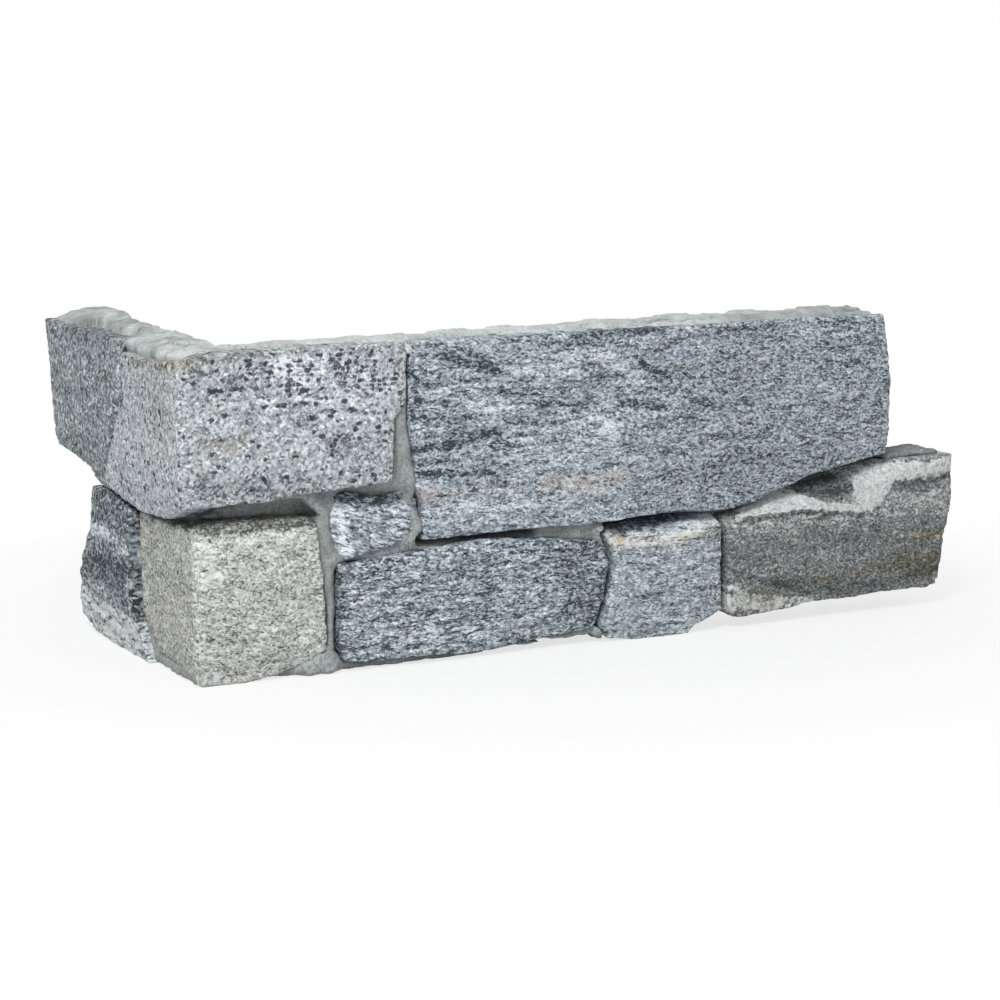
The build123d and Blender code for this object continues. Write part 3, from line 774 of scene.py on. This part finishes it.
# The rock of each stone
ROCKS = {
    "upper_corner_stone": dict(
        levels=[(0.05, 98), (0.28, 147), (0.5, 178), (0.72, 201), (1.0, 240)], tint=(-5, 1, 6),
        grain=1.1, stretch=1.0, streaks=0.3, mica=(1.3, 1.4, 0.29), spots=(2.1, 0.14, 50)),
    "upper_long_stone": dict(
        levels=[(0.0, 64), (0.28, 136), (0.5, 170), (0.72, 197), (1.0, 236)], tint=(-9, 1, 10),
        grain=0.8, stretch=1.4, dip=-3.5,
        vein=((0.0, 52), (0.25, 132), (0.5, 192), (0.75, 224), (1.0, 242)), vein_tint=(0, 0, 2),
        stain_and_shade=(226, 204, 194)),
    "wedge_stone": dict(
        levels=[(0.0, 62), (0.28, 132), (0.5, 166), (0.72, 196), (1.0, 240)], tint=(-9, 1, 8),
        stretch=2.0, dip=-17, streak=(2.2, 6), mica=(0.9, 4.0, 0.41)),
    "lower_corner_stone": dict(
        levels=[(0.0, 92), (0.28, 160), (0.5, 187), (0.72, 209), (1.0, 238)], tint=(-1, 3, 0),
        stretch=1.3, dip=-5, streaks=0.7, streak=(2.4, 5), mica=(1.0, 2.2, 0.36)),
    "lower_middle_stone": dict(
        levels=[(0.0, 50), (0.28, 123), (0.5, 161), (0.72, 193), (1.0, 238)], tint=(-9, 1, 9),
        stretch=1.6, streaks=1.2, streak=(1.9, 5), mica=(1.0, 3.5, 0.42)),
    "lower_small_stone": dict(
        levels=[(0.0, 78), (0.28, 140), (0.5, 168), (0.72, 195), (1.0, 236)], tint=(-9, 1, 9),
        stretch=1.6, streak=(2.4, 7), mica=(0.9, 3.5, 0.39), stain_and_shade=(226, 196, 138)),
    "lower_right_stone": dict(
        levels=[(0.0, 66), (0.28, 103), (0.5, 126), (0.72, 150), (1.0, 204)], tint=(-3, 2, 3),
        stretch=1.1, streaks=0.5, mica=(1.0, 2.0, 0.36), stain_and_shade=(200, 178, 142)),
    "upper_short_stone": dict(
        levels=[(0.0, 50), (0.28, 108), (0.5, 139), (0.72, 171), (1.0, 222)], tint=(-7, 1, 5),
        grain=1.4, stretch=1.0, streaks=0.4, mica=(1.5, 1.4, 0.36)),
    "lower_short_stone": dict(
        levels=[(0.0, 56), (0.28, 124), (0.5, 164), (0.72, 197), (1.0, 230)], tint=(-7, 1, 6),
        grain=1.2, streaks=0.8, mica=(1.3, 2.5, 0.38)),
}


def make_stones():
    """The nine stones, each in its own rock."""
    for node, facts in STONES.items():
        piece = dress_stone(node, **facts)
        piece.data.materials.append(rock(node + "_rock", **ROCKS[node]))
        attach(piece, BODY)
        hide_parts(node)


def raised_joints(place):
    """How far the mortar stands out of the solid's joints, in mm, and below 0 where it lies deeper."""
    deep = strongest(
        band(place, [(116, 57), (150, 56.5), (172, 56.5)], 3, 1.5),
        0.15 * band(place, [(68, 82), (90, 79), (108, 80)], 2.5, 1.5),
        0.3 * band(place, [(-16, 78), (20, 78)], 5, 3),
        0.3 * band(place, [(109, 144), (109, 136)], 3, 2))
    raised = strongest(
        3.0 * band(place, [(69.5, 8), (69.5, 50)], 2.5, 1.5),
        4.0 * band(place, [(108, 132), (106, 112), (108, 96), (111, 82)], 4, 2),
        2.5 * band(place, [(62, 80), (70, 62), (74, 51)], 4, 2),
        3.5 * blob(place, (111, 62), (7, 9)),
        5.0 * blob(place, (64, 4), (12, 7)),
        4.0 * band(place, [(206, 4), (208, 24), (210, 40), (207, 54)], 2, 2))
    return raised * (1 - deep) - 8.0 * deep


def cap_drop(place):
    """How far the cap lies under the solid's top, in mm, along the legs."""
    along = place[:, 0]
    long_leg = 1.3 * (1 - smooth_step(along, 120, 240))
    short_leg = 1.3 * smooth_step(along, -170, -140) - 1.0 * (1 - smooth_step(along, -170, -150))
    return np.where(along > 0, long_leg, short_leg)


def joint_shade_and_cap_blotches(place, points, out):
    """Where the mortar is darker: painted shade in its joints, strongest under the corner stone's overhang, a painted
    shadow on the lower step, and blotches and darker ends on the cap.
    """
    below_cap = points[:, 2] < HEIGHT - 5
    # Painted shade deep in the joints, strongest under the overhanging corner stone
    shade_and_blotches = 0.78 + 0.4 * band(place, [(-60, 76), (0, 78), (20, 78)], 5, 3)
    shade_and_blotches = shade_and_blotches * smooth_step(out, 10, 14) * below_cap
    cap = 0.42 * smooth_step(-place[:, 0], 20, 60) + 0.4 * smooth_step(place[:, 0], 240, 340)
    blotches = 0.45 * noise(points, (14, 14, 8), 61) + 0.35 * noise(points, 4.5, 62)
    shade_and_blotches += (cap + blotches * (0.6 + 0.6 * (place[:, 0] < 0))) * ~below_cap
    # Painted shadow on the lower step at the right end
    step = smooth_step(points[:, 0], 330, 334) * smooth_step(points[:, 2], 66, 72)
    return np.clip(shade_and_blotches + step * (1 - smooth_step(points[:, 2], 80, 84)), 0, 1)


def broken_cap(place, points, out):
    """Where the front of the cap has broken away to a lower ledge, and a painted shadow line at its foot."""
    border = out + 3.5 * noise(points, (16, 16, 60), 41) + 1.5 * noise(points, (5, 5, 60), 42)
    gone = smooth_step(border, 13, 14.5) * smooth_step(place[:, 0], -178, -162)
    gone *= 1 - 0.75 * smooth_step(place[:, 0], -104, -96) * (1 - smooth_step(place[:, 0], -10, 4))
    depth = np.where(place[:, 0] > 0, 0.9, 2.2) + 0.5 * noise(points, (11, 11, 60), 43)
    line = band(np.stack([border, np.zeros(len(out))], axis=1), [(14.2, -1), (14.2, 1)], 0.5, 0.7)
    return gone * depth, line * smooth_step(noise(points, (14, 14, 60), 44), -0.1, 0.25)


def near_wall(points):
    """1 on the faces that lie against the wall, and 0 elsewhere."""
    long_back = smooth_step(points[:, 1], -2.5, -0.5) * (points[:, 0] > -2)
    short_back = smooth_step(points[:, 0], -2.5, -0.5) * (points[:, 1] > -2)
    return np.maximum(long_back, short_back)


def over_corner_stone(place):
    """Whether a place is over the upper corner stone or to the right of it."""
    return place[:, 0] > -97


def cap_fill(points, place):
    """How far the underside of the cap goes down to the lowered stones on the short leg, in mm below 0."""
    to_corner_stone = 1.15 * SHORT_TOP[2][1] * blob(place, *SHORT_TOP[:2])
    fill = np.where(over_corner_stone(place), to_corner_stone, -3.2)
    return fill * (points[:, 0] < -BED_DEPTH - 0.5) * (place[:, 0] < 25)


def cap_waves(points, place, out):
    """The lumps of the cap and the ridges along it, in mm."""
    lumps = 0.7 * noise(points, (26, 26, 12), 5) + 0.35 * noise(points, 9, 6) + 0.15 * noise(points, 3.5, 7)
    ridges = np.stack([place[:, 0] / 22, out / 3.2, np.zeros(len(out))], axis=1)
    return lumps + 0.6 * noise(ridges, 1.0, 31) + 0.35 * noise(ridges * (2.2, 1.6, 1), 1.0, 32)


def cap_terraces(points):
    """Low steps in the cap, in mm."""
    return 0.8 * smooth_step(noise(points, (12, 8, 60), 46), 0.0, 0.12) - 0.4


def cap_lip(points, out):
    """How far the uneven front edge of the cap reaches over the stones, in mm."""
    edge = 3.2 + 1.6 * noise(points, (9, 9, 30), 21) + 1.0 * noise(points, (3.5, 3.5, 30), 22)
    return smooth_step(out, 13, 22) * edge


def pushed_out(shaped, points, top, push):
    """The shaped points moved out of the face that they are on, or out of both at the cap's corner."""
    shaped = shaped.copy()
    on_long = -points[:, 1] >= -points[:, 0]
    at_corner = (top > 0.5) & (np.minimum(-points[:, 1], -points[:, 0]) > 12)
    shaped[:, 1] -= np.where(on_long | at_corner, push, 0)
    shaped[:, 0] -= np.where(~on_long | at_corner, push, 0)
    return shaped


def broken_off(shaped, place, out, top, filled):
    """The shaped points with the cap sunk where so little of it is left that it would lie level with a stone."""
    shaped = shaped.copy()
    bare = (top > 0) & (out > BED_DEPTH) & (shaped[:, 2] < STONE_TOP + 0.5) & ~filled
    sunk_to = STONE_TOP - np.where(place[:, 0] < -96, 3.6, 1.2)
    shaped[bare, 2] = np.minimum(shaped[:, 2], sunk_to)[bare]
    return shaped


def mortar_lines(place, points, out, top, sunk, crack):
    """Dark lines: painted shadow deep in the joints and at the cap's broken edge, and dark lines between its layers at
    the front.
    """
    # Painted shadow deep in the joints under and between the upper stones
    joints = strongest(
        0.8 * band(place, [(109, 146), (109, 128), (109, 112), (111, 92)], (3, 3, 0.5, 0.5), 1.2),
        0.3 * band(place, [(-20, 78), (12, 78), (40, 80)], (6, 6, 0.5), 2),
        0.2 * band(place, [(68, 82), (90, 79), (108, 80)], 2, 1.5),
        0.8 * band(place, [(116, 57), (150, 56.5), (172, 56.5)], 3, 1.5))
    layers = band(place, [(-94, 142.5), (-60, 143.5), (-30, 145.5), (-2, 147)], 0.5, 0.7)
    layers = 0.8 * layers * (out > CAP_DEPTH - 4) * smooth_step(noise(points, (9, 9, 30), 45), -0.35, 0.1)
    # The broken-edge line is a painted shadow at the foot of the cap's lower ledge
    return strongest(joints * sunk * smooth_step(out, 10, 14), 0.6 * crack * top, layers)


def make_mortar():
    """The mortar bed: a lumpy cap and rim, trowelled joints, and flat where it meets the wall."""
    piece = fine_copy("mortar_backing", MORTAR_VOXEL)
    points = nudged(vectors(piece.data, "co") / MM, MORTAR_MOVES)
    pairs = edge_pairs(piece.data)
    normals = smooth_normals(piece.data, pairs, 2)
    place, out = face_place(points), depth_out(points)
    top = smooth_step(points[:, 2], HEIGHT - 6, HEIGHT - 4)
    sunk = (1 - top) * (1 - near_wall(points))
    waves = cap_waves(points, place, out)
    rough = 0.5 * noise(points, 9, 8) + 0.5 * noise(points, 3.8, 9)
    fill = cap_fill(points, place)
    underside = (np.abs(points[:, 2] - STONE_TOP) < 1.1) & ((normals[:, 2] < -0.3) | (out > CAP_DEPTH - 1.5))
    points[:, 2] += fill * underside
    shaped = points + 0.5 * (averaged(points, pairs, 3) - points)
    shaped += normals * (sunk * (rough + 0.45))[:, None]
    joint = sunk * smooth_step(out, JOINT_DEPTH - 3, JOINT_DEPTH - 1) * raised_joints(place)
    shaped = pushed_out(shaped, points, top, joint + top * cap_lip(points, out))
    # The second mask is a painted shadow line at the foot of the broken ledge
    broken, crack = broken_cap(place, points, out)
    shaped[:, 2] += top * (waves + cap_terraces(points) - 0.3 - cap_drop(place) - broken)
    shaped[:, 2] -= top * smooth_step(out, 16, 24)
    filled = over_corner_stone(place) & (fill < -1)
    write_back(piece, broken_off(shaped, place, out, top, filled))
    # This mask is mostly painted shade, in the joints and on the lower step; on the cap it is blotches
    add_mask(piece, "stain_and_shade", joint_shade_and_cap_blotches(place, points, out))
    add_mask(piece, "line", mortar_lines(place, points, out, top, sunk, crack))
    piece.data.materials.append(mortar_material())
    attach(piece, BODY)
    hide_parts("mortar_backing")


# Surroundings

FLOOR_SIZE = 12.0
FLOOR_MIDDLE = (0.17, 0.07, 0.0)
# The floor is FLOOR_WHITE plain white at the object, and wholly white from the outer radius on.
FLOOR_WHITE = 0.72
SHADOW_RADII = (120, 420)
WORLD_STRENGTH = 0.5

# The photograph's point of view, solved from the object's edges
LENS = 98.65
CAMERA_PLACE = (-0.4133, -1.1424, 0.2785)
CAMERA_RIGHT = (0.90015, -0.4355, -0.00859)
CAMERA_UP = (0.07915, 0.14415, 0.98639)
CAMERA_BACK = (-0.42833, -0.88857, 0.16422)


def seen_directly(nodes, links):
    """1 for rays that show the background itself: from the camera, or through gloss or glass."""
    seen = nodes.new("ShaderNodeLightPath")
    share = seen.outputs["Is Camera Ray"]
    for kind in ("Is Glossy Ray", "Is Transmission Ray"):
        either = nodes.new("ShaderNodeMath")
        either.operation = "MAXIMUM"
        links.new(share, either.inputs[0])
        links.new(seen.outputs[kind], either.inputs[1])
        share = either.outputs[0]
    return share


def make_floor():
    """A pale floor that keeps the shadow near the object and is plain white further off."""
    bpy.ops.mesh.primitive_plane_add(size=FLOOR_SIZE, location=FLOOR_MIDDLE)
    floor = bpy.context.object
    floor.name = "floor"
    tree = Tree("pale_floor")
    tree.put(tree.shader.inputs["Base Color"], (0.8, 0.8, 0.8, 1))
    tree.put(tree.shader.inputs["Roughness"], 0.9)
    glow = tree.node("Emission", {"Color": (1, 1, 1, 1)})
    away = tree.node("VectorMath", {0: tree.place}, operation="LENGTH").outputs["Value"]
    fade = tree.between(away, *SHADOW_RADII, FLOOR_WHITE, interpolation_type="SMOOTHSTEP")
    share = tree.math("MULTIPLY", seen_directly(tree.nodes, tree.links), fade)
    plain = tree.node("MixShader", {0: share, 1: tree.shader.outputs[0], 2: glow.outputs[0]})
    tree.put(tree.nodes["Material Output"].inputs["Surface"], plain.outputs[0])
    floor.data.materials.append(tree.material)


def make_world():
    """Even light from all round, and white where the camera looks past the floor."""
    world = bpy.data.worlds.new("studio")
    bpy.context.scene.world = world
    world.use_nodes = True
    nodes, links = world.node_tree.nodes, world.node_tree.links
    background = nodes["Background"]
    background.inputs["Color"].default_value = (1, 1, 1, 1)
    strength = nodes.new("ShaderNodeMapRange")
    strength.inputs["To Min"].default_value = WORLD_STRENGTH
    strength.inputs["To Max"].default_value = 1.0
    links.new(seen_directly(nodes, links), strength.inputs["Value"])
    links.new(strength.outputs[0], background.inputs["Strength"])


def soft_lamp(name, place, target, size, power):
    """A square lamp that faces its target."""
    lamp = bpy.data.lights.new(name, "AREA")
    lamp.size = size
    lamp.energy = power
    holder = bpy.data.objects.new(name, lamp)
    holder.location = place
    holder.rotation_euler = (Vector(target) - Vector(place)).to_track_quat("-Z", "Y").to_euler()
    bpy.context.scene.collection.objects.link(holder)


def make_camera():
    """A camera at the photograph's point of view: low, and well to the left of the long face."""
    data = bpy.data.cameras.new("camera")
    data.sensor_width = 36
    data.lens = LENS
    camera = bpy.data.objects.new("camera", data)
    turn = Matrix((CAMERA_RIGHT, CAMERA_UP, CAMERA_BACK)).transposed().to_4x4()
    camera.matrix_world = Matrix.Translation(CAMERA_PLACE) @ turn
    bpy.context.scene.collection.objects.link(camera)
    bpy.context.scene.camera = camera


bpy.context.scene.view_settings.view_transform = "Standard"
make_camera()
make_world()
soft_lamp("key", place=(-0.55, -0.8, 1.2), target=(0.1, 0, 0.08), size=0.5, power=17)
make_floor()
make_stones()
make_mortar()
